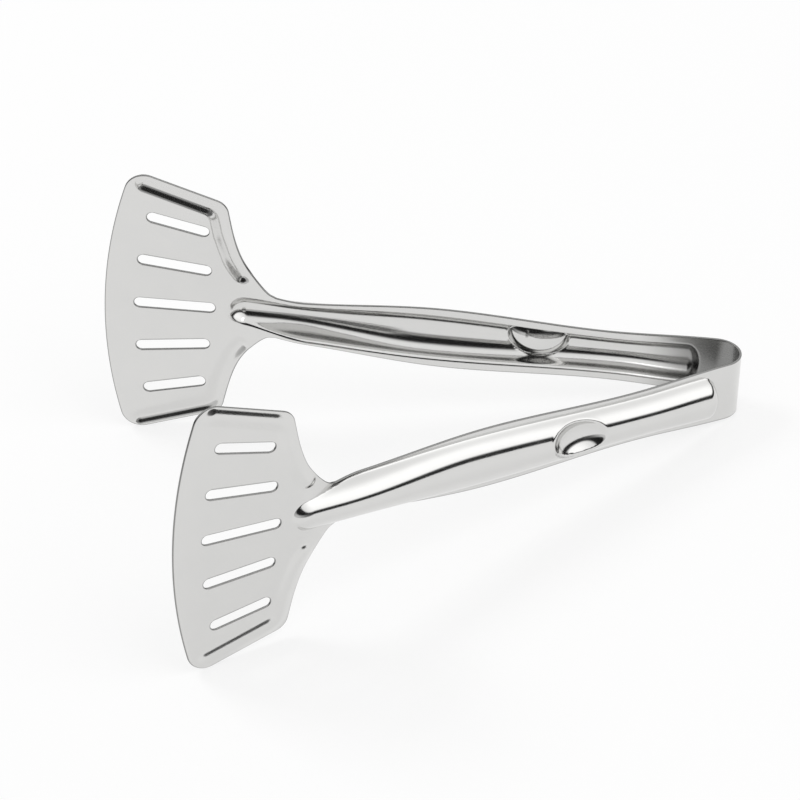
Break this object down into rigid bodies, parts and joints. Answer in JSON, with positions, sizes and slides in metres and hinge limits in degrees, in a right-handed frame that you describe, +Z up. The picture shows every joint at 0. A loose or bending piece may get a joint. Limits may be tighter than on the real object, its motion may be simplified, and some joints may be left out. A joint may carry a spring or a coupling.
{
  "type": "fish tongs",
  "caption": "Sprung stainless fish tongs: slotted fan blades on hollow channel handles joined by a U-shaped spring bow, lying open on one side.",
  "frame": {"origin": "on the table, under the middle of the tongs' bounding box as they lie open on one side", "axes": "+X runs from the blades to the spring bow, +Y from the front arm to the back arm, +Z up from the table"},
  "size_m": [0.2484, 0.1834, 0.1189],
  "materials": {
    "polished_stainless": "mirror polished, with fine polishing lines"
  },
  "bodies": {
    "bow": {"spring_bow": "polished_stainless"},
    "front": {"front_arm": "polished_stainless"},
    "back": {"back_arm": "polished_stainless"}
  },
  "joints": [
    {"name": "front_squeeze", "type": "hinge", "parent": "bow", "child": "front", "pos_m": [0.11868, -0.00561, 0.01333], "axis": [-0.2019, 0, -0.9794], "range_deg": [0, 20.3], "stiffness_Nm_per_rad": 4, "deforming": ["spring_bow"]},
    {"name": "back_squeeze", "type": "hinge", "parent": "bow", "child": "back", "pos_m": [0.11868, 0.00561, 0.01333], "axis": [0.2019, 0, 0.9794], "range_deg": [0, 20.3], "stiffness_Nm_per_rad": 4, "deforming": ["spring_bow"]}
  ],
  "couplings": [
    {"joint": "back_squeeze", "follows": "front_squeeze", "ratio": 1}
  ]
}
